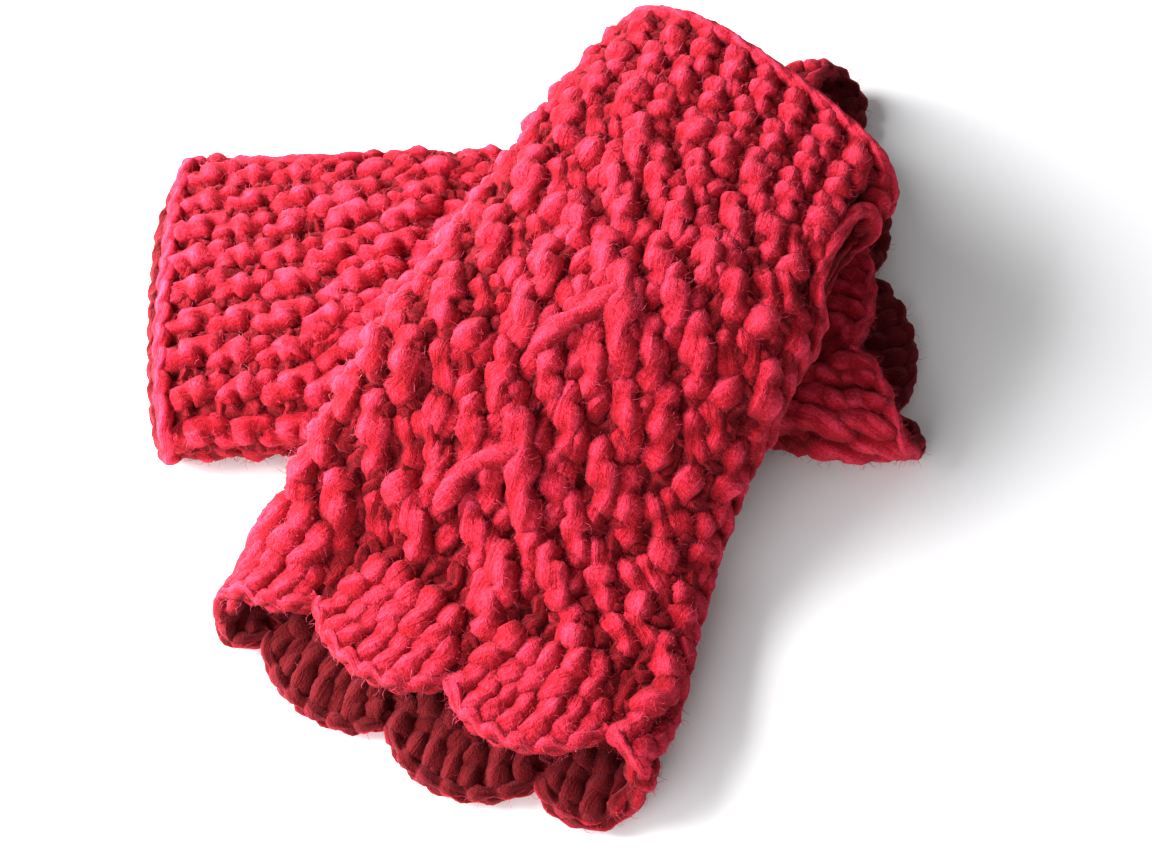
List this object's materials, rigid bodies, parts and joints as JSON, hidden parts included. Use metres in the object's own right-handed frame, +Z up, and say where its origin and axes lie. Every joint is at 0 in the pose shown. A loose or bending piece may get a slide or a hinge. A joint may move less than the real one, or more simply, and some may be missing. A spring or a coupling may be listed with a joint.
{
  "type": "pair of crocheted fingerless gloves",
  "caption": "Pair of thick crocheted fingerless gloves with ribbed cuffs, a crossed cable, a thumb slit and a fan border, one lying across the other.",
  "frame": {"origin": "middle of the lower glove's flat underside, on the surface that the pair lies on", "axes": "+Z up, +X along the lower glove from its plain rim to its fans, +Y across it to its seam side"},
  "size_m": [0.2076, 0.2316, 0.06],
  "materials": {
    "wool": "thick soft 3-ply wool in crochet post stitches, red, slightly fuzzy",
    "rim_wool": "the same red wool in a smooth chain edge",
    "seam_wool": "the same red wool, sewn in slanted overcast stitches"
  },
  "bodies": {
    "lower_glove": {"lower_foundation_rim": "rim_wool", "lower_ribbed_cuff": "wool", "lower_hand_tube": "wool", "lower_knuckle_rounds": "wool", "lower_cable_panel": "wool", "lower_side_seam": "seam_wool", "lower_thumb_slit_edge": "rim_wool", "lower_fan_edging": "wool"},
    "upper_glove": {"upper_foundation_rim": "rim_wool", "upper_ribbed_cuff": "wool", "upper_hand_tube": "wool", "upper_knuckle_rounds": "wool", "upper_cable_panel": "wool", "upper_side_seam": "seam_wool", "upper_thumb_slit_edge": "rim_wool", "upper_fan_edging": "wool"}
  },
  "joints": [
    {"name": "lift_off", "type": "slide", "parent": "lower_glove", "child": "upper_glove", "axis": [0, 0, 1], "range_m": [0, 0.08]}
  ]
}
